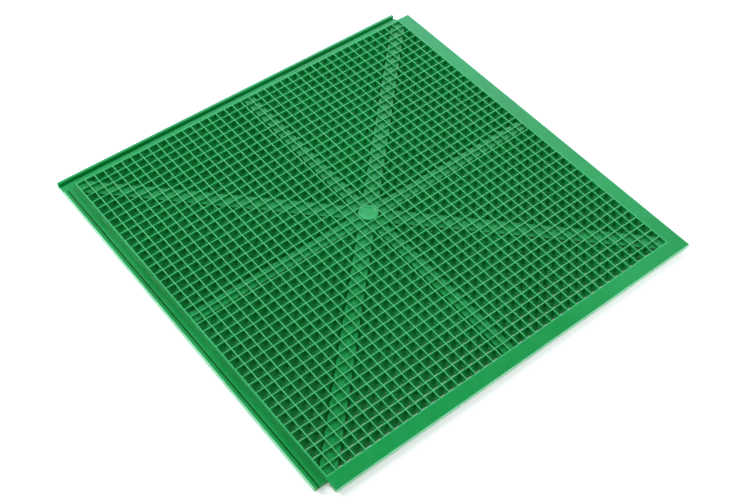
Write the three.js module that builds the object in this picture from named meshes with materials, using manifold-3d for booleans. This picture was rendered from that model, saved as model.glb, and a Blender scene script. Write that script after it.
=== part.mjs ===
// A queen excluder panel: a square grid tray in moulded green plastic that lies between two hive boxes.
// Two neighbouring edges carry an upstanding lip with a channel behind it, and the other two carry a hollow
// flange that drops into the next panel's channel: its leg into the groove beside the lip, its skirt onto the
// ledge beside the wall. Low flow leaders run out from a round boss in the middle.
// Millimetres, +Z up, origin at the middle of the underside.
import * as THREE from "three";
import { mergeVertices } from "three/addons/utils/BufferGeometryUtils.js";
import Module from "manifold-3d";

const wasm = await Module();
wasm.setup();

// Driving dimensions: the grid.
const CELL_PITCH = 12;
const CELLS_PER_SIDE = 40;
const RIB_WIDTH = 1.2;
const BEE_GAP = 4.2; // a worker passes this gap and a queen doesn't
const RIB_TOP_Z = 9.2;
const FLOOR_TOP_Z = 3;
const TIE_WIDTH = 1.2; // the bar that joins the ends of the ribs
const TIE_INSET = 0.2;

// Driving dimensions: the border, measured outwards or inwards from the edge of the grid.
const WALL_OUTWARD = 1.4;
const WALL_INWARD = 1.2;
const CHANNEL_WIDTH = 11.2;
const LIP_WIDTH = 3.4;
const LIP_TOP_Z = 7.3;
const LEDGE_TOP_Z = 4.2;
const GROOVE_WIDTH = 2.8;
const GROOVE_FLOOR_Z = 2;
const FLANGE_WIDTH = 15.6;
const LEG_THICKNESS = 1.8;
const FIT_CLEARANCE = 0.1; // between two interlocked panels
const WEB_THICKNESS = 1.4;
const CELLS_BETWEEN_WEBS = 4;

// Driving dimensions: the flow leaders and the boss that the plastic enters by.
const LEADER_TOP_Z = 6.2;
const STRAIGHT_LEADER_WIDTH = 15;
const DIAGONAL_LEADER_WIDTH = 18;
const HUB_RADIUS = 24;
const BOSS_RADIUS = 11.6;
const BOSS_TOP_Z = 10;
const BOSS_RIM_WIDTH = 2.2;
const BOSS_DISH_DEPTH = 0.9;
const ROUND_STEPS = 48;

const GAP = 0.3; // kept between neighbouring pieces

// Places that follow from the driving dimensions.
const GRID_EDGE = (CELL_PITCH * CELLS_PER_SIDE) / 2;
const WALL_OUTER = GRID_EDGE + WALL_OUTWARD;
const WALL_INNER = GRID_EDGE - WALL_INWARD;
const LADDER_EDGE = WALL_INNER - GAP;
const LIP_INNER = WALL_OUTER + CHANNEL_WIDTH;
const LIP_OUTER = LIP_INNER + LIP_WIDTH;
const LEDGE_EDGE = LIP_INNER - GROOVE_WIDTH;
const FLANGE_EDGE = WALL_OUTER + FLANGE_WIDTH;
const FLANGE_PLATE_Z = LIP_TOP_Z + FIT_CLEARANCE;
const LEG_BOTTOM_Z = GROOVE_FLOOR_Z + FIT_CLEARANCE;
const SKIRT_BOTTOM_Z = LEDGE_TOP_Z + FIT_CLEARANCE;
const LEG_INNER = FLANGE_EDGE - CHANNEL_WIDTH + 2 * FIT_CLEARANCE;
const LEG_OUTER = LEG_INNER + LEG_THICKNESS;
const SKIRT_INNER = FLANGE_EDGE - LEG_THICKNESS;
const UPPER_RIB_Z = LEADER_TOP_Z + GAP;
const GRID_TO_MIDDLE = (FLANGE_EDGE - LIP_OUTER) / 2; // the flanges are wider than the channels

const FRAME_GREEN = 0x1f9a56;
const GRID_GREEN = 0x2aa862;
const LEADER_GREEN = 0x178045;

const panel = new THREE.Group();

function plastic(colour) {
  return new THREE.MeshStandardMaterial({ color: colour, roughness: 0.38, metalness: 0 });
}

// Pieces are made about the middle of the grid, then moved so that the origin is the middle of the panel.
function addPiece(name, geometry, colour) {
  geometry.translate(-GRID_TO_MIDDLE, -GRID_TO_MIDDLE, 0);
  const mesh = new THREE.Mesh(geometry, plastic(colour));
  mesh.name = name;
  panel.add(mesh);
  return mesh;
}

// An upright block between two corners, each given as [x, y, z]. Its faces land exactly on the given values,
// so that blocks which share a face join cleanly.
function block(low, high) {
  const box = new THREE.BoxGeometry(2, 2, 2);
  const corners = box.attributes.position;
  for (let index = 0; index < corners.count; index++) {
    for (let axis = 0; axis < 3; axis++) {
      const end = corners.getComponent(index, axis) < 0 ? low : high;
      corners.setComponent(index, axis, end[axis]);
    }
  }
  return box;
}

// An outline of [x, y] corners, raised from bottom to top.
function prism(corners, bottom, top) {
  const shape = new THREE.Shape(corners.map(([x, y]) => new THREE.Vector2(x, y)));
  const settings = { depth: top - bottom, bevelEnabled: false };
  return new THREE.ExtrudeGeometry(shape, settings).translate(0, 0, bottom);
}

function roundPost(radius, bottom, top) {
  const post = new THREE.CylinderGeometry(radius, radius, top - bottom, ROUND_STEPS);
  return post.rotateX(Math.PI / 2).translate(0, 0, (bottom + top) / 2);
}

function toSolid(geometry) {
  const bare = geometry.clone();
  bare.deleteAttribute("normal");
  bare.deleteAttribute("uv");
  const merged = mergeVertices(bare, 1e-4);
  const vertProperties = new Float32Array(merged.attributes.position.array);
  const triVerts = new Uint32Array(merged.index.array);
  return new wasm.Manifold(new wasm.Mesh({ numProp: 3, vertProperties, triVerts }));
}

function toGeometry(solid) {
  const made = solid.getMesh();
  const geometry = new THREE.BufferGeometry();
  geometry.setAttribute("position", new THREE.BufferAttribute(made.vertProperties, made.numProp));
  geometry.setIndex(new THREE.BufferAttribute(made.triVerts, 1));
  geometry.computeVertexNormals();
  return geometry;
}

function cellLine(index) {
  return index * CELL_PITCH - GRID_EDGE;
}

// The eight flow leaders as plan outlines, from the hub to the border wall. Those to the corners end in a
// right-angled point. grow widens them on every side.
function straightLeader(grow) {
  const half = STRAIGHT_LEADER_WIDTH / 2 + grow;
  const start = HUB_RADIUS + GAP - grow;
  const end = LADDER_EDGE + grow;
  return [
    [start, -half],
    [end, -half],
    [end, half],
    [start, half],
  ];
}

function diagonalLeader(grow) {
  const half = DIAGONAL_LEADER_WIDTH / 2 + grow;
  const start = HUB_RADIUS + GAP - grow;
  const tip = (LADDER_EDGE + grow) * Math.SQRT2;
  return [
    [start, -half],
    [tip - half, -half],
    [tip, 0],
    [tip - half, half],
    [start, half],
  ];
}

function leaders(grow, bottom, top) {
  const names = ["right", "back_right", "back", "back_left", "left", "front_left", "front", "front_right"];
  return names.map((name, eighth) => {
    const outline = eighth % 2 === 0 ? straightLeader(grow) : diagonalLeader(grow);
    const geometry = prism(outline, bottom, top).rotateZ((eighth * Math.PI) / 4);
    return { name: `flow_leader_${name}`, geometry };
  });
}

function addLeaders() {
  for (const { name, geometry } of leaders(0, FLOOR_TOP_Z + GAP, LEADER_TOP_Z)) {
    addPiece(name, geometry, LEADER_GREEN);
  }
  addPiece("leader_hub", roundPost(HUB_RADIUS, FLOOR_TOP_Z + GAP, LEADER_TOP_Z), LEADER_GREEN);
}

// The boss has a flat top with a shallow dish inside a rim.
function addGateBoss() {
  const bottom = LEADER_TOP_Z + GAP;
  const dishRadius = BOSS_RADIUS - BOSS_RIM_WIDTH;
  const profile = [
    [0, bottom],
    [BOSS_RADIUS, bottom],
    [BOSS_RADIUS, BOSS_TOP_Z],
    [dishRadius, BOSS_TOP_Z],
    [dishRadius - BOSS_DISH_DEPTH, BOSS_TOP_Z - BOSS_DISH_DEPTH],
    [0, BOSS_TOP_Z - BOSS_DISH_DEPTH],
  ];
  const points = profile.map(([radius, height]) => new THREE.Vector2(radius, height));
  addPiece("gate_boss", new THREE.LatheGeometry(points, ROUND_STEPS).rotateX(Math.PI / 2), FRAME_GREEN);
}

function union(geometries) {
  return wasm.Manifold.union(geometries.map(toSolid));
}

// The upper ribs, along X, cut clear of the boss. The two bars that tie their ends together are a little
// lower and narrower than the ribs, so that no two joined faces coincide.
function addRibsAlongX() {
  const bars = [];
  for (let row = 1; row < CELLS_PER_SIDE; row++) {
    const low = [-LADDER_EDGE, cellLine(row) - RIB_WIDTH / 2, UPPER_RIB_Z];
    const high = [LADDER_EDGE, cellLine(row) + RIB_WIDTH / 2, RIB_TOP_Z];
    bars.push(block(low, high));
  }
  const tieEnd = cellLine(CELLS_PER_SIDE - 1) + RIB_WIDTH / 2 - TIE_INSET;
  const tieOuter = LADDER_EDGE - TIE_INSET;
  for (const outer of [-tieOuter, tieOuter]) {
    const inner = outer - Math.sign(outer) * TIE_WIDTH;
    const low = [Math.min(inner, outer), -tieEnd, UPPER_RIB_Z + TIE_INSET];
    const high = [Math.max(inner, outer), tieEnd, RIB_TOP_Z - TIE_INSET];
    bars.push(block(low, high));
  }
  const bossRoom = toSolid(roundPost(BOSS_RADIUS + GAP, UPPER_RIB_Z - 1, RIB_TOP_Z + 1));
  addPiece("ribs_along_x", toGeometry(union(bars).subtract(bossRoom)), GRID_GREEN);
}

// A bar along Y with the given outline of [x, z] corners.
function barAlongY(corners, halfLength) {
  const bar = prism(corners, -halfLength, halfLength);
  return bar.rotateX(Math.PI / 2);
}

// The lower ribs, along Y. Each is an L section: an upright rib with a floor bar at its foot that leaves one
// bee gap open before the next rib. The uprights are cut away where the flow leaders lie.
function addRibsAlongY() {
  const bars = [];
  let barEnd = -LADDER_EDGE;
  for (let column = 0; column < CELLS_PER_SIDE; column++) {
    const ribLow = cellLine(column) - RIB_WIDTH / 2;
    const ribHigh = cellLine(column) + RIB_WIDTH / 2;
    const barStart = Math.max(ribLow, -LADDER_EDGE);
    barEnd = Math.min(ribLow + CELL_PITCH, WALL_INNER) - BEE_GAP;
    const foot = [
      [barStart, 0],
      [barEnd, 0],
      [barEnd, FLOOR_TOP_Z],
    ];
    const upright = [
      [ribHigh, FLOOR_TOP_Z],
      [ribHigh, LEADER_TOP_Z],
      [ribLow, LEADER_TOP_Z],
    ];
    const corners = column === 0 ? [...foot, [barStart, FLOOR_TOP_Z]] : [...foot, ...upright];
    bars.push(barAlongY(corners, LADDER_EDGE));
  }
  const tieOuter = LADDER_EDGE - TIE_INSET;
  for (const outer of [-tieOuter, tieOuter]) {
    const inner = outer - Math.sign(outer) * TIE_WIDTH;
    const low = [TIE_INSET - LADDER_EDGE, Math.min(inner, outer), TIE_INSET];
    const high = [barEnd - TIE_INSET, Math.max(inner, outer), FLOOR_TOP_Z - TIE_INSET];
    bars.push(block(low, high));
  }
  const roomBottom = FLOOR_TOP_Z + GAP / 2;
  const roomTop = LEADER_TOP_Z + 1;
  const leaderRoom = leaders(GAP, roomBottom, roomTop).map(({ geometry }) => geometry);
  leaderRoom.push(roundPost(HUB_RADIUS + GAP, roomBottom, roomTop));
  addPiece("ribs_along_y", toGeometry(union(bars).subtract(union(leaderRoom))), GRID_GREEN);
}

function addBorderWalls() {
  const sides = { left: -1, right: 1 };
  for (const [name, side] of Object.entries(sides)) {
    const inner = side * WALL_INNER;
    const outer = side * WALL_OUTER;
    const low = [Math.min(inner, outer), -WALL_OUTER, 0];
    const high = [Math.max(inner, outer), WALL_OUTER, RIB_TOP_Z];
    addPiece(`border_wall_${name}`, block(low, high), FRAME_GREEN);
  }
  const ends = { front: -1, back: 1 };
  for (const [name, side] of Object.entries(ends)) {
    const inner = side * WALL_INNER;
    const outer = side * WALL_OUTER;
    const low = [-LADDER_EDGE, Math.min(inner, outer), 0];
    const high = [LADDER_EDGE, Math.max(inner, outer), RIB_TOP_Z];
    addPiece(`border_wall_${name}`, block(low, high), FRAME_GREEN);
  }
}

// A length of channel floor for the left edge: a ledge, and a lower groove beside the lip.
function channelFloor(inner, start, end) {
  const outer = LIP_INNER - GAP;
  const corners = [
    [-outer, 0],
    [-inner, 0],
    [-inner, LEDGE_TOP_Z],
    [-LEDGE_EDGE, LEDGE_TOP_Z],
    [-LEDGE_EDGE, GROOVE_FLOOR_Z],
    [-outer, GROOVE_FLOOR_Z],
  ];
  return barAlongY(corners, (end - start) / 2).translate(0, (start + end) / 2, 0);
}

// The left and front edges: a lip, and the channel floor behind it. The front lip starts where the grid
// does, which leaves the corner open at its front. The front floor is the left one turned a quarter.
function addChannels() {
  const floorInner = WALL_OUTER + GAP;
  const leftLip = block([-LIP_OUTER, -LIP_OUTER, 0], [-LIP_INNER, WALL_OUTER, LIP_TOP_Z]);
  const frontLip = block([-GRID_EDGE, -LIP_OUTER, 0], [WALL_OUTER, -LIP_INNER, LIP_TOP_Z]);
  const leftFloor = channelFloor(floorInner, -WALL_OUTER, WALL_OUTER);
  const frontFloor = channelFloor(floorInner, -WALL_OUTER, GRID_EDGE).rotateZ(Math.PI / 2);
  const cornerFloor = channelFloor(GRID_EDGE + GAP, -LIP_OUTER, -floorInner);
  addPiece("channel_lip_left", leftLip, FRAME_GREEN);
  addPiece("channel_lip_front", frontLip, FRAME_GREEN);
  addPiece("channel_floor_left", leftFloor, FRAME_GREEN);
  addPiece("channel_floor_front", frontFloor, FRAME_GREEN);
  addPiece("channel_floor_corner", cornerFloor, FRAME_GREEN);
}

// A skirt with its stiffening webs, as one comb outline in plan that runs along Y. The last web closes the
// skirt at its start.
function skirtComb(start, end) {
  const root = LEG_OUTER + GAP;
  const corners = [
    [FLANGE_EDGE, start],
    [FLANGE_EDGE, end],
    [SKIRT_INNER, end],
  ];
  const webStep = CELL_PITCH * CELLS_BETWEEN_WEBS;
  for (let line = GRID_EDGE; line > -GRID_EDGE; line -= webStep) {
    const low = line - WEB_THICKNESS / 2;
    const high = low + WEB_THICKNESS;
    corners.push([SKIRT_INNER, high], [root, high], [root, low], [SKIRT_INNER, low]);
  }
  const closed = start + WEB_THICKNESS;
  corners.push([SKIRT_INNER, closed], [root, closed], [root, start]);
  return corners;
}

function mirrorInDiagonal(corners) {
  return corners.map(([x, y]) => [y, x]).reverse();
}

// The right and back edges: a plate level with the rib tops, an inner leg and an outer skirt under it, and
// between the wall and the leg a groove for the next panel's lip.
function addFlanges() {
  const start = -WALL_OUTER;
  const plateInner = WALL_OUTER + GAP;
  const legTop = FLANGE_PLATE_Z - GAP;
  const rightPlate = block([plateInner, start, FLANGE_PLATE_Z], [FLANGE_EDGE, WALL_OUTER, RIB_TOP_Z]);
  const backPlate = block([start, plateInner, FLANGE_PLATE_Z], [WALL_OUTER, FLANGE_EDGE, RIB_TOP_Z]);
  const cornerPlate = block([plateInner, plateInner, FLANGE_PLATE_Z], [FLANGE_EDGE, FLANGE_EDGE, RIB_TOP_Z]);
  const rightLeg = block([LEG_INNER, start, LEG_BOTTOM_Z], [LEG_OUTER, LEG_OUTER, legTop]);
  const backLeg = block([start, LEG_INNER, LEG_BOTTOM_Z], [LEG_INNER - GAP, LEG_OUTER, legTop]);
  const rightSkirt = prism(skirtComb(start, FLANGE_EDGE), SKIRT_BOTTOM_Z, legTop);
  const backComb = mirrorInDiagonal(skirtComb(start, SKIRT_INNER - GAP));
  const backSkirt = prism(backComb, SKIRT_BOTTOM_Z, legTop);
  addPiece("flange_plate_right", rightPlate, FRAME_GREEN);
  addPiece("flange_plate_back", backPlate, FRAME_GREEN);
  addPiece("flange_plate_corner", cornerPlate, FRAME_GREEN);
  addPiece("flange_leg_right", rightLeg, FRAME_GREEN);
  addPiece("flange_leg_back", backLeg, FRAME_GREEN);
  addPiece("flange_skirt_right", rightSkirt, FRAME_GREEN);
  addPiece("flange_skirt_back", backSkirt, FRAME_GREEN);
}

addRibsAlongX();
addRibsAlongY();
addBorderWalls();
addChannels();
addFlanges();
addLeaders();
addGateBoss();

export default panel;
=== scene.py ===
"""A green moulded queen excluder panel on a white studio table.

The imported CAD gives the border's lines and the main levels. The finer lengths are named below. The panel is
rebuilt as one finished moulding: the ribs cross at one level over a floor with one bee gap to a cell, and the
edges of the ribs and the border are rounded.
"""

import math

import bmesh
import bpy
import numpy as np
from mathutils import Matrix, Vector


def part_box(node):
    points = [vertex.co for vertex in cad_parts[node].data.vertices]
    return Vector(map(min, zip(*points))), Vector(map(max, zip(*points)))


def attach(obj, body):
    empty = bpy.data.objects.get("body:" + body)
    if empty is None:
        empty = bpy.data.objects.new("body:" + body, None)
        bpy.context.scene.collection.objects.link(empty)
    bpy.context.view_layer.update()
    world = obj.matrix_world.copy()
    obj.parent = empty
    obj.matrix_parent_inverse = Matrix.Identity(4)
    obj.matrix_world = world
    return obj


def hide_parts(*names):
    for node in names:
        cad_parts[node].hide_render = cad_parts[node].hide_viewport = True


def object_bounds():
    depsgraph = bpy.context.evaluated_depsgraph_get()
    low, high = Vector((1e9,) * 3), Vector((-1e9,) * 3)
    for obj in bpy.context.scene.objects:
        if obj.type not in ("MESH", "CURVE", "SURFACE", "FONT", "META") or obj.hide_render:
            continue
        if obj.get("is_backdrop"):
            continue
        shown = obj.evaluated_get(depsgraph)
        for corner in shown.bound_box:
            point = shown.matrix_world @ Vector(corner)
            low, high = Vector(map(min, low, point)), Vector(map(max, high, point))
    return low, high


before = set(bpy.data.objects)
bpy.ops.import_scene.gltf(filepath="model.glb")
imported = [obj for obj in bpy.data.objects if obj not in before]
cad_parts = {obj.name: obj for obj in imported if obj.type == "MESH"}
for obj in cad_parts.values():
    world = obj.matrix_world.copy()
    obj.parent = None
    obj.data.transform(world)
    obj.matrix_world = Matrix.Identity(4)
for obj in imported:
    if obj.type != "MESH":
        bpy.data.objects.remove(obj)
CAD_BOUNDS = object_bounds()

MM = 0.001

# Everything is built about the middle of the grid, which isn't quite the middle of the panel, because the
# flanges are wider than the channels.
HUB_LOW, HUB_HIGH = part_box("leader_hub")
CENTRE = Vector(((HUB_LOW.x + HUB_HIGH.x) / 2, (HUB_LOW.y + HUB_HIGH.y) / 2, 0))


def grid_box(node):
    """A CAD node's low and high corners, measured from the middle of the grid."""
    low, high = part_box(node)
    return Vector(low) - CENTRE, Vector(high) - CENTRE


# Levels and border lines, from the CAD nodes.
WALL_LOW, WALL_HIGH = grid_box("border_wall_right")
LIP_LOW, LIP_HIGH = grid_box("channel_lip_left")
PLATE_LOW, PLATE_HIGH = grid_box("flange_plate_right")
LEG_LOW, LEG_HIGH = grid_box("flange_leg_right")
BOSS_HIGH = grid_box("gate_boss")[1]
RIB_TOP = WALL_HIGH.z
WALL_INNER = WALL_LOW.x
WALL_OUTER = WALL_HIGH.x
LIP_INNER = -LIP_HIGH.x
LIP_OUTER = -LIP_LOW.x
LIP_TOP = LIP_HIGH.z
LEDGE_TOP = grid_box("channel_floor_left")[1].z
FLANGE_EDGE = PLATE_HIGH.x
PLATE_BOTTOM = PLATE_LOW.z
LEG_BOTTOM = LEG_LOW.z
SKIRT_BOTTOM = grid_box("flange_skirt_right")[0].z
LEG_INNER = LEG_LOW.x
LEG_OUTER = LEG_HIGH.x
SKIRT_INNER = FLANGE_EDGE - (LEG_OUTER - LEG_INNER)
LEADER_TOP = HUB_HIGH.z
HUB_RADIUS = (HUB_HIGH.x - HUB_LOW.x) / 2
BOSS_RADIUS = BOSS_HIGH.x
BOSS_TOP = BOSS_HIGH.z
STRAIGHT_HALF = grid_box("flow_leader_right")[1].y
OUTLINE = CAD_BOUNDS[1][0]

# The grid.
CELLS = 40
PITCH = 12 * MM
FLOOR_TOP = 3 * MM
HALF = PITCH / 2
GRID_EDGE = CELLS * HALF
RIB_HALF = 0.6 * MM
WALL_HALF = GRID_EDGE - WALL_INNER
RIB_ROUND = 0.42 * MM
RIB_DRAFT = 0.2 * MM  # how much thicker each side of a rib is at its foot
CORNER_ROUND = 0.55 * MM
CROSSING_REACH = 1.3 * MM  # from a rib crossing to the outline's next point
FILLET = 1.0 * MM  # at the foot of a cell's left wall
SIDE_FILLET = 0.5 * MM  # at the foot of its front and back walls
BEE_GAP = 4.2 * MM
SLOT_HALF_LENGTH = 4.5 * MM
SLOT_ROUND = 0.2 * MM
BAR_LEDGE = 0.06 * MM  # floor left between a gap and the cell's right wall
MERGE_DISTANCE = 0.002 * MM
SAME_PLACE = 0.01 * MM  # lengths that differ by less count as equal
ARC_MIDDLE = 1 - math.sqrt(0.5)  # how far in the middle of a quarter arc of radius 1 lies, on each axis

# The border, the flanges and the leaders.
GROOVE_WIDTH = 2.8 * MM  # beside the lip, and lower than the ledge
GROOVE_FLOOR = 2 * MM
EDGE_ROUND = 0.3 * MM
WEB = 1.4 * MM
CELLS_PER_WEB = 4
DIAGONAL_HALF = 9 * MM
LEADER_SINK = 0.05 * MM
LEADER_ROUND = 0.35 * MM
LEADER_END = WALL_INNER + 0.7 * MM
BOSS_MARGIN = 0.3 * MM  # the rib tops sink inside the boss, up to this near its side
BOSS_DROP = 1.6 * MM
BOSS_STEPS = 72

# The colours and the light.
PAINTED_GLOW_DEPTH = 0.7 * MM  # painted glow: the rib tops are painted paler down to this depth, for light through the thin ribs and on their rounded tops
PAINTED_RIM_WIDTH = 0.5 * MM  # painted highlight: the outer edge is painted paler over this width, for the white table's light on it
PAINTED_LIGHT_FULL = 0.1 * MM  # how near the top or the edge the painted light is at its strongest
DARK_GREEN = (0.001, 0.275, 0.05)
LIGHT_GREEN = (0.002, 0.33, 0.07)
STREAK_GREEN = (0.013, 0.33, 0.11, 1)
# painted glow on the rib tops
RIB_TOP_PAINTED_GLOW = (0.10, 0.62, 0.27, 1)
# painted highlight on the outer edge
RIM_PAINTED_HIGHLIGHT = (0.30, 0.78, 0.50, 1)
SCUFF_GREEN = (0.05, 0.42, 0.18, 1)
TABLE_REACH = 40.0
TABLE_DROP = 0.01 * MM  # keeps the table's face off the panel's underside
TABLE_WHITE = (0.93, 0.935, 0.95, 1)
TABLE_GLOW = 0.28

# The border's pieces, each with the CAD nodes that it replaces.
BORDER_NODES = {
    "left": ("border_wall_left", "channel_lip_left", "channel_floor_left", "channel_floor_corner"),
    "front": ("border_wall_front", "channel_lip_front", "channel_floor_front"),
    "right": (
        "border_wall_right",
        "flange_plate_right",
        "flange_plate_corner",
        "flange_leg_right",
        "flange_skirt_right",
    ),
    "back": ("border_wall_back", "flange_plate_back", "flange_leg_back", "flange_skirt_back"),
}

PIECES = []


def add_mesh(name, bm, smooth_angle=50):
    """A finished piece that rides on the panel, from a bmesh in metres."""
    mesh = bpy.data.meshes.new(name)
    bmesh.ops.translate(bm, verts=bm.verts[:], vec=CENTRE)
    bmesh.ops.recalc_face_normals(bm, faces=bm.faces[:])
    bm.to_mesh(mesh)
    bm.free()
    mesh.polygons.foreach_set("use_smooth", [True] * len(mesh.polygons))
    mesh.set_sharp_from_angle(angle=math.radians(smooth_angle))
    piece = bpy.data.objects.new(name, mesh)
    bpy.context.scene.collection.objects.link(piece)
    normals = piece.modifiers.new("flat_faces_stay_flat", "WEIGHTED_NORMAL")
    normals.weight = 100
    normals.keep_sharp = True
    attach(piece, "root")
    PIECES.append(piece)
    return piece


# ---- the grid: one ring-by-ring cell, repeated ----


def outer_ring(z):
    """The cell's outline on the rib centre lines: three points to a corner, shared with the next cells."""
    near = HALF - CROSSING_REACH
    corners = []
    for sx, sy in ((-1, -1), (1, -1), (1, 1), (-1, 1)):
        along_x = (sx * near, sy * HALF, z)
        along_y = (sx * HALF, sy * near, z)
        corner = (sx * HALF, sy * HALF, z)
        corners += [along_y, corner, along_x] if sx == sy else [along_x, corner, along_y]
    return corners


def rounded_ring(low_x, high_x, low_y, high_y, radius, z):
    """A rectangle with rounded corners, in the same point order as outer_ring."""
    points = []
    for sx, sy in ((-1, -1), (1, -1), (1, 1), (-1, 1)):
        x = high_x if sx > 0 else low_x
        y = high_y if sy > 0 else low_y
        cut = radius * ARC_MIDDLE
        along_x = (x - sx * radius, y, z)
        along_y = (x, y - sy * radius, z)
        corner = (x - sx * cut, y - sy * cut, z)
        points += [along_y, corner, along_x] if sx == sy else [along_x, corner, along_y]
    return points


def cell_rings(insets, slot):
    """The rings of one cell from its outline at the rib tops, down the walls to the floor, and, where slot is
    the gap's (low x, high x), through the gap to the underside. insets are the half ribs (-X, +X, -Y, +Y)."""

    def ring(grow, floor_share, z):
        return rounded_ring(
            -HALF + insets[0] + grow + floor_share * FILLET,
            HALF - insets[1] - grow,
            -HALF + insets[2] + grow + floor_share * SIDE_FILLET,
            HALF - insets[3] - grow - floor_share * SIDE_FILLET,
            CORNER_ROUND,
            z,
        )

    rings = [
        outer_ring(RIB_TOP),
        ring(-RIB_ROUND, 0, RIB_TOP),
        ring(-ARC_MIDDLE * RIB_ROUND, 0, RIB_TOP - ARC_MIDDLE * RIB_ROUND),
        ring(0, 0, RIB_TOP - RIB_ROUND),
        ring(RIB_DRAFT, 0, FLOOR_TOP + FILLET),
        ring(RIB_DRAFT, ARC_MIDDLE, FLOOR_TOP + ARC_MIDDLE * FILLET),
        ring(RIB_DRAFT, 1, FLOOR_TOP),
    ]
    if slot:
        low, high = slot
        levels = ((SLOT_ROUND, FLOOR_TOP), (0, FLOOR_TOP - SLOT_ROUND), (0, SLOT_ROUND), (SLOT_ROUND, 0))
        for grow, z in levels:
            side = SLOT_HALF_LENGTH - SLOT_ROUND + grow
            reach = min(grow, BAR_LEDGE) if z > SLOT_ROUND else grow
            rings.append(rounded_ring(low - grow, high + reach, -side, side, CORNER_ROUND, z))
        rings.append(outer_ring(0))
    return rings


def in_leader(x, y):
    """Whether a plan point is on one of the eight flow leaders or their hub."""
    straight = min(abs(x), abs(y)) <= STRAIGHT_HALF
    diagonal = abs(abs(x) - abs(y)) / math.sqrt(2) <= DIAGONAL_HALF
    return straight or diagonal or math.hypot(x, y) <= HUB_RADIUS


def slot_of(column, row):
    """The bee gap's (low x, high x) in a cell, or None where a leader covers it."""
    centre_x = (column + 0.5) * PITCH - GRID_EDGE
    centre_y = (row + 0.5) * PITCH - GRID_EDGE
    last = column == CELLS - 1
    high = HALF - (WALL_HALF if last else RIB_HALF) - RIB_DRAFT - BAR_LEDGE
    low = high - BEE_GAP
    ends = (-SLOT_HALF_LENGTH, SLOT_HALF_LENGTH)
    covered = all(in_leader(centre_x + x, centre_y + y) for x in (low, high) for y in ends)
    return None if covered else (low, high)


def add_cell(bm, column, row):
    """One cell's walls, floor and underside. Its outline points merge with those of the next cells."""
    last = CELLS - 1
    at_walls = (column == 0, column == last, row == 0, row == last)
    insets = [WALL_HALF if at_wall else RIB_HALF for at_wall in at_walls]
    slot = slot_of(column, row)
    x = (column + 0.5) * PITCH - GRID_EDGE
    y = (row + 0.5) * PITCH - GRID_EDGE
    rings = []
    for points in cell_rings(insets, slot):
        rings.append([bm.verts.new((x + px, y + py, pz)) for px, py, pz in points])
    for upper, lower in zip(rings, rings[1:]):
        count = len(upper)
        for i in range(count):
            j = (i + 1) % count
            bm.faces.new((upper[i], upper[j], lower[j], lower[i]))
    if not slot:
        bm.faces.new(rings[-1])
        bm.faces.new([bm.verts.new((x + px, y + py, pz)) for px, py, pz in outer_ring(0)])


def sink_under_boss(bm):
    """Rib tops that run into the boss drop below its dish."""
    reach = BOSS_RADIUS - BOSS_MARGIN
    level = BOSS_TOP - BOSS_DROP
    for vert in bm.verts:
        if math.hypot(vert.co.x, vert.co.y) < reach and vert.co.z > level:
            vert.co.z = level


def make_grid():
    """The grid in four quarters, each one closed body."""
    half = CELLS // 2
    names = {(0, 0): "front_left", (1, 0): "front_right", (0, 1): "back_left", (1, 1): "back_right"}
    for (block_x, block_y), name in names.items():
        bm = bmesh.new()
        for column in range(block_x * half, (block_x + 1) * half):
            for row in range(block_y * half, (block_y + 1) * half):
                add_cell(bm, column, row)
        bmesh.ops.remove_doubles(bm, verts=bm.verts[:], dist=MERGE_DISTANCE)
        rims = [edge for edge in bm.edges if edge.is_boundary]
        bmesh.ops.bridge_loops(bm, edges=rims)
        sink_under_boss(bm)
        piece = add_mesh(f"grid_{name}", bm)
        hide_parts("ribs_along_x", "ribs_along_y")


# ---- the border: blocks joined on one rectilinear lattice, then rounded ----


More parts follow.
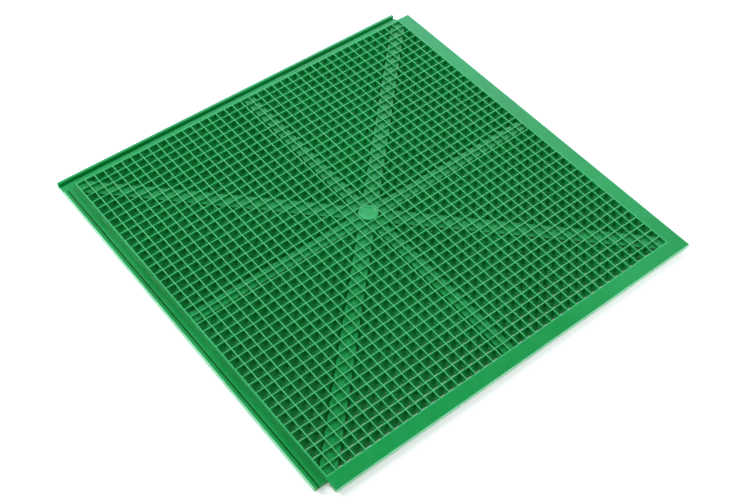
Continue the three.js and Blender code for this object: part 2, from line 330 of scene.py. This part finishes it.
def border_blocks():
    """Every block of the walls, channels and flanges, as (low corner, high corner)."""
    wall = WALL_OUTER
    lip = LIP_OUTER
    ledge = LIP_INNER - GROOVE_WIDTH
    edge = FLANGE_EDGE
    walls = [
        ((-wall, -wall, 0), (-GRID_EDGE, wall, RIB_TOP)),
        ((GRID_EDGE, -wall, 0), (wall, wall, RIB_TOP)),
        ((-wall, -wall, 0), (wall, -GRID_EDGE, RIB_TOP)),
        ((-wall, GRID_EDGE, 0), (wall, wall, RIB_TOP)),
    ]
    channels = [
        ((-LIP_INNER, -wall, 0), (-wall, wall, GROOVE_FLOOR)),
        ((-ledge, -wall, 0), (-wall, wall, LEDGE_TOP)),
        ((-GRID_EDGE, -LIP_INNER, 0), (wall, -wall, GROOVE_FLOOR)),
        ((-GRID_EDGE, -ledge, 0), (wall, -wall, LEDGE_TOP)),
        ((-LIP_INNER, -lip, 0), (-GRID_EDGE, -wall, GROOVE_FLOOR)),
        ((-ledge, -lip, 0), (-GRID_EDGE, -wall, LEDGE_TOP)),
        ((-lip, -lip, 0), (-LIP_INNER, wall, LIP_TOP)),
        ((-GRID_EDGE, -lip, 0), (wall, -LIP_INNER, LIP_TOP)),
    ]
    flanges = [
        ((wall, -wall, PLATE_BOTTOM), (edge, edge, RIB_TOP)),
        ((-wall, wall, PLATE_BOTTOM), (edge, edge, RIB_TOP)),
        ((LEG_INNER, -wall, LEG_BOTTOM), (LEG_OUTER, LEG_OUTER, PLATE_BOTTOM)),
        ((-wall, LEG_INNER, LEG_BOTTOM), (LEG_OUTER, LEG_OUTER, PLATE_BOTTOM)),
        ((SKIRT_INNER, -wall, SKIRT_BOTTOM), (edge, edge, PLATE_BOTTOM)),
        ((-wall, SKIRT_INNER, SKIRT_BOTTOM), (edge, edge, PLATE_BOTTOM)),
    ]
    last_web = CELLS // CELLS_PER_WEB
    for index in range(last_web + 1):
        middle = GRID_EDGE - index * CELLS_PER_WEB * PITCH
        low = middle - WEB / 2 if index < last_web else -wall
        flanges.append(((LEG_OUTER, low, SKIRT_BOTTOM), (SKIRT_INNER, low + WEB, PLATE_BOTTOM)))
        flanges.append(((low, LEG_OUTER, SKIRT_BOTTOM), (low + WEB, SKIRT_INNER, PLATE_BOTTOM)))
    return walls + channels + flanges


def side_of(x, y):
    """Which border side a plan point belongs to. The cuts are square across the side's section."""
    if x > WALL_INNER and y > -WALL_INNER:
        return "right"
    if y > WALL_INNER:
        return "back"
    if x < -WALL_INNER:
        return "left"
    return "front"


def lattice_lines(blocks):
    """The sorted X, Y and Z values, in millimetres, that bound any block or cut the border into its sides."""
    lines = []
    for axis in range(3):
        values = {round(corner[axis] / MM, 4) for block in blocks for corner in block}
        if axis < 2:
            values |= {round(WALL_INNER / MM, 4), round(-WALL_INNER / MM, 4)}
        lines.append(sorted(values))
    return lines


def owner_of_cells(blocks, lines):
    """For each lattice cell, the number of the side that its material belongs to, or -1 where it is empty."""
    middles = [np.array([(a + b) / 2 for a, b in zip(values, values[1:])]) * MM for values in lines]
    shape = [len(values) for values in middles]
    solid = np.zeros(shape, bool)
    for low, high in blocks:
        x, y, z = [(low[a] < middles[a]) & (middles[a] < high[a]) for a in range(3)]
        solid |= x[:, None, None] & y[None, :, None] & z[None, None, :]
    names = list(BORDER_NODES)
    owner = np.full(shape, -1)
    for i, x in enumerate(middles[0]):
        for j, y in enumerate(middles[1]):
            owner[i, j, solid[i, j]] = names.index(side_of(x, y))
    return owner


def faces_of_side(owner, index):
    """Each outer face of one side's cells, as (axis, its four lattice points, owner of the cell beyond)."""
    for cell in np.argwhere(owner == index):
        for axis in range(3):
            for step in (0, 1):
                other = cell.copy()
                other[axis] += 2 * step - 1
                within = 0 <= other[axis] < owner.shape[axis]
                neighbour = owner[tuple(other)] if within else -1
                if neighbour == index:
                    continue
                base = [int(value) for value in cell]
                base[axis] += step
                yield axis, face_corners(base, axis), neighbour


def face_corners(base, axis):
    """The four lattice points of the cell face that stands across an axis at a base point."""
    u, v = [other for other in range(3) if other != axis]
    corners = []
    for step_u, step_v in ((0, 0), (1, 0), (1, 1), (0, 1)):
        corner = list(base)
        corner[u] += step_u
        corner[v] += step_v
        corners.append(tuple(corner))
    return corners


def joins_grid(face, axis):
    """Whether a face is an upright one on the grid's edge line, and borders the grid and not the outside."""
    middle = face.calc_center_median()
    on_line = axis < 2 and abs(abs(middle[axis]) - GRID_EDGE) < SAME_PLACE
    limit = GRID_EDGE + SAME_PLACE
    return on_line and abs(middle.x) < limit and abs(middle.y) < limit


def turns_by(edge, least, most, seam):
    """Whether an edge off the seams turns by an angle between two limits, in radians."""
    if edge[seam] or len(edge.link_faces) != 2:
        return False
    return least < edge.calc_face_angle(0) < most


def side_mesh(owner, index, lines):
    """The closed surface of one side's cells, its edges rounded except where it joins the other pieces."""
    bm = bmesh.new()
    seam = bm.edges.layers.int.new("seam")
    verts = {}
    seam_faces = []
    for axis, corners, neighbour in faces_of_side(owner, index):
        for corner in corners:
            if corner not in verts:
                verts[corner] = bm.verts.new([lines[a][corner[a]] * MM for a in range(3)])
        face = bm.faces.new([verts[corner] for corner in corners])
        if neighbour >= 0 or joins_grid(face, axis):
            seam_faces.append(face)
    bmesh.ops.recalc_face_normals(bm, faces=bm.faces[:])
    for face in seam_faces:
        for edge in face.edges:
            edge[seam] = 1
    flat = [edge for edge in bm.edges if turns_by(edge, -1, 0.01, seam)]
    bmesh.ops.dissolve_edges(bm, edges=flat, use_verts=True)
    straight = [vert for vert in bm.verts if len(vert.link_edges) == 2 and vert.calc_edge_angle(0) < 0.01]
    bmesh.ops.dissolve_verts(bm, verts=straight)
    sharp = [edge for edge in bm.edges if turns_by(edge, 0.5, 4, seam)]
    bmesh.ops.bevel(
        bm,
        geom=sharp,
        offset=EDGE_ROUND,
        segments=3,
        profile=0.5,
        affect="EDGES",
        clamp_overlap=True,
    )
    return bm


def make_border():
    blocks = border_blocks()
    lines = lattice_lines(blocks)
    owner = owner_of_cells(blocks, lines)
    for index, (name, nodes) in enumerate(BORDER_NODES.items()):
        piece = add_mesh(f"border_{name}", side_mesh(owner, index, lines))
        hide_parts(*nodes)


# ---- the flow leaders and the boss ----


def leader_outline():
    """The hub and its eight leaders as one outline in plan, anticlockwise."""
    outline = []
    for eighth in range(8):
        straight = eighth % 2 == 0
        half = STRAIGHT_HALF if straight else DIAGONAL_HALF
        spread = math.asin(half / HUB_RADIUS)
        tip = LEADER_END if straight else LEADER_END * math.sqrt(2)
        start = math.cos(spread) * HUB_RADIUS
        points = [(start, -half), (tip, -half), (tip, half), (start, half)]
        if not straight:
            points = [(start, -half), (tip - half, -half), (tip, 0), (tip - half, half), (start, half)]
        turn = eighth * math.pi / 4
        cosine = math.cos(turn)
        sine = math.sin(turn)
        outline += [(x * cosine - y * sine, x * sine + y * cosine) for x, y in points]
    return outline


def make_leaders():
    """The hub and the leaders as one plate, with its upper rim rounded."""
    bm = bmesh.new()
    bottom = [bm.verts.new((x, y, LEADER_SINK)) for x, y in leader_outline()]
    top = [bm.verts.new((vert.co.x, vert.co.y, LEADER_TOP)) for vert in bottom]
    count = len(bottom)
    bm.faces.new(top)
    bm.faces.new(bottom[::-1])
    for i in range(count):
        j = (i + 1) % count
        bm.faces.new((bottom[i], bottom[j], top[j], top[i]))
    rim = [edge for edge in bm.edges if all(vert.co.z > LEADER_TOP - MM for vert in edge.verts)]
    bmesh.ops.bevel(bm, geom=rim, offset=LEADER_ROUND, segments=2, profile=0.5, affect="EDGES")
    piece = add_mesh("flow_leaders", bm)
    names = [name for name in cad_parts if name.startswith("flow_leader_")]
    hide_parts("leader_hub", *names)


def lathe(profile, steps):
    """A closed solid turned about the grid's upright middle line, from (radius, height) points that start and
    end on that line."""
    bm = bmesh.new()
    rings = []
    for radius, height in profile[1:-1]:
        ring = []
        for step in range(steps):
            angle = 2 * math.pi * step / steps
            ring.append(bm.verts.new((radius * math.cos(angle), radius * math.sin(angle), height)))
        rings.append(ring)
    for lower, upper in zip(rings, rings[1:]):
        for i in range(steps):
            j = (i + 1) % steps
            bm.faces.new((lower[i], lower[j], upper[j], upper[i]))
    for ring, (_, height) in ((rings[0], profile[0]), (rings[-1], profile[-1])):
        tip = bm.verts.new((0, 0, height))
        for i in range(steps):
            bm.faces.new((ring[i], ring[(i + 1) % steps], tip))
    return bm


def make_boss():
    """The boss: a rounded rim round a shallow dish with a small nub in its middle."""
    side = BOSS_RADIUS
    top = BOSS_TOP
    profile = [
        (0, LEADER_TOP - 0.5 * MM),
        (side, LEADER_TOP - 0.5 * MM),
        (side, top - 0.8 * MM),
        (side - 0.12 * MM, top - 0.38 * MM),
        (side - 0.4 * MM, top - 0.1 * MM),
        (side - 0.8 * MM, top),
        (side - 1.9 * MM, top),
        (side - 2.3 * MM, top - 0.12 * MM),
        (side - 2.8 * MM, top - 0.5 * MM),
        (side - 3.4 * MM, top - 0.8 * MM),
        (side - 4.4 * MM, top - 0.9 * MM),
        (2.4 * MM, top - 0.9 * MM),
        (2.1 * MM, top - 0.84 * MM),
        (1.9 * MM, top - 0.5 * MM),
        (1.5 * MM, top - 0.36 * MM),
        (0.7 * MM, top - 0.42 * MM),
        (0, top - 0.46 * MM),
    ]
    piece = add_mesh("gate_boss_turned", lathe(profile, BOSS_STEPS))
    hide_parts("gate_boss")


# ---- materials ----


class NodeTree:
    """Adds shader nodes and their links with little writing."""

    def __init__(self, name):
        self.material = bpy.data.materials.new(name)
        self.material.use_nodes = True
        self.nodes = self.material.node_tree.nodes
        self.links = self.material.node_tree.links
        self.shader = self.nodes["Principled BSDF"]

    def feed(self, node, inputs):
        """Links or sets a node's inputs, each given by its name or its number."""
        for key, value in inputs.items():
            if isinstance(value, bpy.types.NodeSocket):
                self.links.new(value, node.inputs[key])
            else:
                node.inputs[key].default_value = value

    def add(self, kind, inputs, **settings):
        node = self.nodes.new(kind)
        for key, value in settings.items():
            setattr(node, key, value)
        self.feed(node, inputs)
        return node

    def place(self):
        return self.add("ShaderNodeTexCoord", {}).outputs["Object"]

    def noise(self, coordinates, scale, detail=3.0, roughness=0.55):
        inputs = {"Vector": coordinates, "Scale": scale, "Detail": detail, "Roughness": roughness}
        return self.add("ShaderNodeTexNoise", inputs).outputs["Fac"]

    def spread(self, value, low_in, high_in, low, high):
        inputs = {"Value": value, "From Min": low_in, "From Max": high_in, "To Min": low, "To Max": high}
        return self.add("ShaderNodeMapRange", inputs).outputs["Result"]

    def maths(self, operation, a, b=0.0):
        return self.add("ShaderNodeMath", {0: a, 1: b}, operation=operation).outputs["Value"]

    def vector(self, operation, inputs, output="Vector"):
        return self.add("ShaderNodeVectorMath", inputs, operation=operation).outputs[output]

    def bump(self, inputs):
        return self.add("ShaderNodeBump", inputs).outputs["Normal"]

    def mix(self, factor, a, b):
        return self.add("ShaderNodeMix", {0: factor, 6: a, 7: b}, data_type="RGBA").outputs[2]


def flow_streaks(tree, x, y):
    """Noise drawn out along lines that run from the gate in the middle to the panel's edges."""
    flat = tree.add("ShaderNodeCombineXYZ", {"X": x, "Y": y}).outputs["Vector"]
    distance = tree.vector("LENGTH", {0: flat}, "Value")
    outward = tree.vector("NORMALIZE", {0: flat})
    turned = tree.vector("SCALE", {0: outward, "Scale": 14.0})
    along = tree.add("ShaderNodeCombineXYZ", {"Z": tree.maths("MULTIPLY", distance, 9.0)}).outputs["Vector"]
    return tree.noise(tree.vector("ADD", {0: turned, 1: along}), 1.0)


def plastic_colour(tree, place, cloud, scuff, painted_top_glow, rim, shade):
    """The pigment with its clouds and streaks and paler scuffs, with painted light on it: a painted glow on
    the rib tops and a painted highlight on the outer edge.
    """
    x, y, z = tree.add("ShaderNodeSeparateXYZ", {"Vector": place}).outputs
    # a shade below 1 darkens the whole green: painted shade, used on the leaders
    dark, light = [(red, green * shade, blue * shade, 1) for red, green, blue in (DARK_GREEN, LIGHT_GREEN)]
    colour = tree.mix(tree.spread(cloud, 0.3, 0.7, 0.0, 1.0), dark, light)
    streak = flow_streaks(tree, x, y)
    colour = tree.mix(tree.spread(streak, 0.56, 0.72, 0.0, 0.3), colour, STREAK_GREEN)
    # painted glow on the rib tops, strongest at the very top
    top = tree.spread(z, RIB_TOP - PAINTED_GLOW_DEPTH, RIB_TOP - PAINTED_LIGHT_FULL, 0.0, painted_top_glow)
    colour = tree.mix(top, colour, RIB_TOP_PAINTED_GLOW)
    # painted highlight along the panel's outer edge, strongest at the outline
    reach = tree.maths("MAXIMUM", tree.maths("ABSOLUTE", x), tree.maths("ABSOLUTE", y))
    painted_rim_mask = tree.spread(reach, OUTLINE - PAINTED_RIM_WIDTH, OUTLINE - PAINTED_LIGHT_FULL, 0.0, rim)
    colour = tree.mix(painted_rim_mask, colour, RIM_PAINTED_HIGHLIGHT)
    return tree.mix(tree.spread(scuff, 0.66, 0.76, 0.0, 0.25), colour, SCUFF_GREEN)


def green_plastic(name, painted_top_glow=0.0, rim=0.0, shade=1.0):
    """Semi-gloss moulded plastic, with a fine skin, low waves and light scuffs.

    The keyword for the rib tops sets the strength of their painted glow, rim that of the painted highlight
    on the panel's outer edge, and shade how far the whole green is darkened, as painted shade."""
    tree = NodeTree(name)
    place = tree.place()
    cloud = tree.noise(place, 9.0, 2.0)
    speckle = tree.noise(place, 420.0, 2.0)
    scuff = tree.noise(place, 150.0, 6.0, 0.7)
    waves = tree.noise(place, 55.0, 2.0)
    rough = tree.spread(cloud, 0.3, 0.7, 0.27, 0.34)
    rough = tree.maths("ADD", rough, tree.spread(scuff, 0.4, 0.8, 0.0, 0.16))
    rough = tree.maths("ADD", rough, tree.spread(speckle, 0.3, 0.7, -0.03, 0.03))
    skin = tree.bump({"Strength": 0.25, "Distance": 0.06 * MM, "Height": speckle})
    ripple = tree.bump({"Strength": 0.35, "Distance": 0.3 * MM, "Height": waves, "Normal": skin})
    shader_inputs = {
        "Base Color": plastic_colour(tree, place, cloud, scuff, painted_top_glow, rim, shade),
        "Roughness": rough,
        "Normal": ripple,
        "IOR": 1.5,
        "Subsurface Weight": 0.3,
        "Subsurface Radius": (0.1, 1.0, 0.3),
        "Subsurface Scale": 1.6 * MM,
    }
    tree.feed(tree.shader, shader_inputs)
    return tree.material


def table_paper():
    """Matt white paper that glows a little, so that the panel's shadow on it stays pale."""
    tree = NodeTree("table_paper")
    grain = tree.noise(tree.place(), 300.0)
    shader_inputs = {
        "Base Color": TABLE_WHITE,
        "Roughness": tree.spread(grain, 0.3, 0.7, 0.55, 0.7),
        "Emission Color": (1, 1, 1, 1),
        "Emission Strength": TABLE_GLOW,
    }
    tree.feed(tree.shader, shader_inputs)
    return tree.material


def paint_pieces():
    """Each piece gets the plastic that the first word of its name stands for."""
    plastics = {
        # painted glow on the rib tops
        "grid": green_plastic("green_plastic_ribs", painted_top_glow=0.55),
        # painted highlight on the outer edge
        "border": green_plastic("green_plastic_border", rim=0.6),
        # the leaders get a darker copy of the plastic, painted shade
        "flow": green_plastic("green_plastic_leaders", shade=0.86),
        # a weaker painted glow on the boss's top
        "gate": green_plastic("green_plastic_boss", painted_top_glow=0.22),
    }
    for piece in PIECES:
        piece.data.materials.append(plastics[piece.name.split("_")[0]])


# ---- the studio ----


def make_floor():
    bm = bmesh.new()
    square = ((-1, -1), (1, -1), (1, 1), (-1, 1))
    bm.faces.new([bm.verts.new((x * TABLE_REACH, y * TABLE_REACH, 0)) for x, y in square])
    mesh = bpy.data.meshes.new("studio_floor")
    bm.to_mesh(mesh)
    bm.free()
    floor = bpy.data.objects.new("studio_floor", mesh)
    floor.location.z = CAD_BOUNDS[0][2] - TABLE_DROP
    bpy.context.scene.collection.objects.link(floor)
    floor.data.materials.append(table_paper())
    floor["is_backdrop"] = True


def add_light(name, place, size, power, colour=(1, 1, 1)):
    """A softbox at a place, turned towards the panel's middle."""
    light = bpy.data.lights.new(name, "AREA")
    light.shape = "RECTANGLE"
    light.size, light.size_y = size
    light.energy = power
    light.color = colour
    lamp = bpy.data.objects.new(name, light)
    lamp.location = place
    lamp.rotation_euler = (-Vector(place)).to_track_quat("-Z", "Y").to_euler()
    bpy.context.scene.collection.objects.link(lamp)


def make_studio():
    """A white table with soft lights all round it: a cool one behind, and a wide, low one in front."""
    make_floor()
    add_light("softbox_left", (-1.2, -1.0, 1.25), (0.8, 0.8), 20)
    add_light("softbox_front", (-0.5, -1.3, 1.4), (0.5, 0.5), 10)
    add_light("softbox_right", (1.0, 1.25, 1.25), (0.8, 0.8), 19)
    add_light("back_panel", (-1.65, 1.65, 1.3), (3.2, 1.5), 50, (0.62, 0.87, 1.0))
    add_light("front_fill", (3.4, -3.4, 0.6), (6.4, 1.0), 42)
    add_light("side_panel", (1.7, 0, 1.4), (1.0, 1.0), 6)
    add_light("overhead", (0.2, -0.15, 2.4), (0.8, 0.8), 4)
    world = bpy.data.worlds.new("studio")
    world.use_nodes = True
    background = world.node_tree.nodes["Background"]
    background.inputs["Color"].default_value = (1, 1, 1, 1)
    background.inputs["Strength"].default_value = 0.03
    scene = bpy.context.scene
    scene.world = world
    scene.view_settings.view_transform = "Standard"
    scene.view_settings.look = "None"


def make_camera():
    """The view from above the panel's front right corner."""
    data = bpy.data.cameras.new("photo_camera")
    data.sensor_width = 36
    data.lens = 57.38
    data.shift_x = -0.0219
    data.shift_y = 0.0005
    data.clip_start = 0.01
    data.dof.use_dof = False
    camera = bpy.data.objects.new("photo_camera", data)
    camera.location = CENTRE + Vector((0.695, -0.5653, 1.0353))
    camera.rotation_euler = [math.radians(angle) for angle in (39.324, -1.616, 51.044)]
    bpy.context.scene.collection.objects.link(camera)
    bpy.context.scene.camera = camera


make_camera()
make_grid()
make_border()
make_leaders()
make_boss()
paint_pieces()
make_studio()

boxes = {"cad": CAD_BOUNDS, "visual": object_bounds()}
{name: [[float(v) for v in corner] for corner in box] for name, box in boxes.items()}
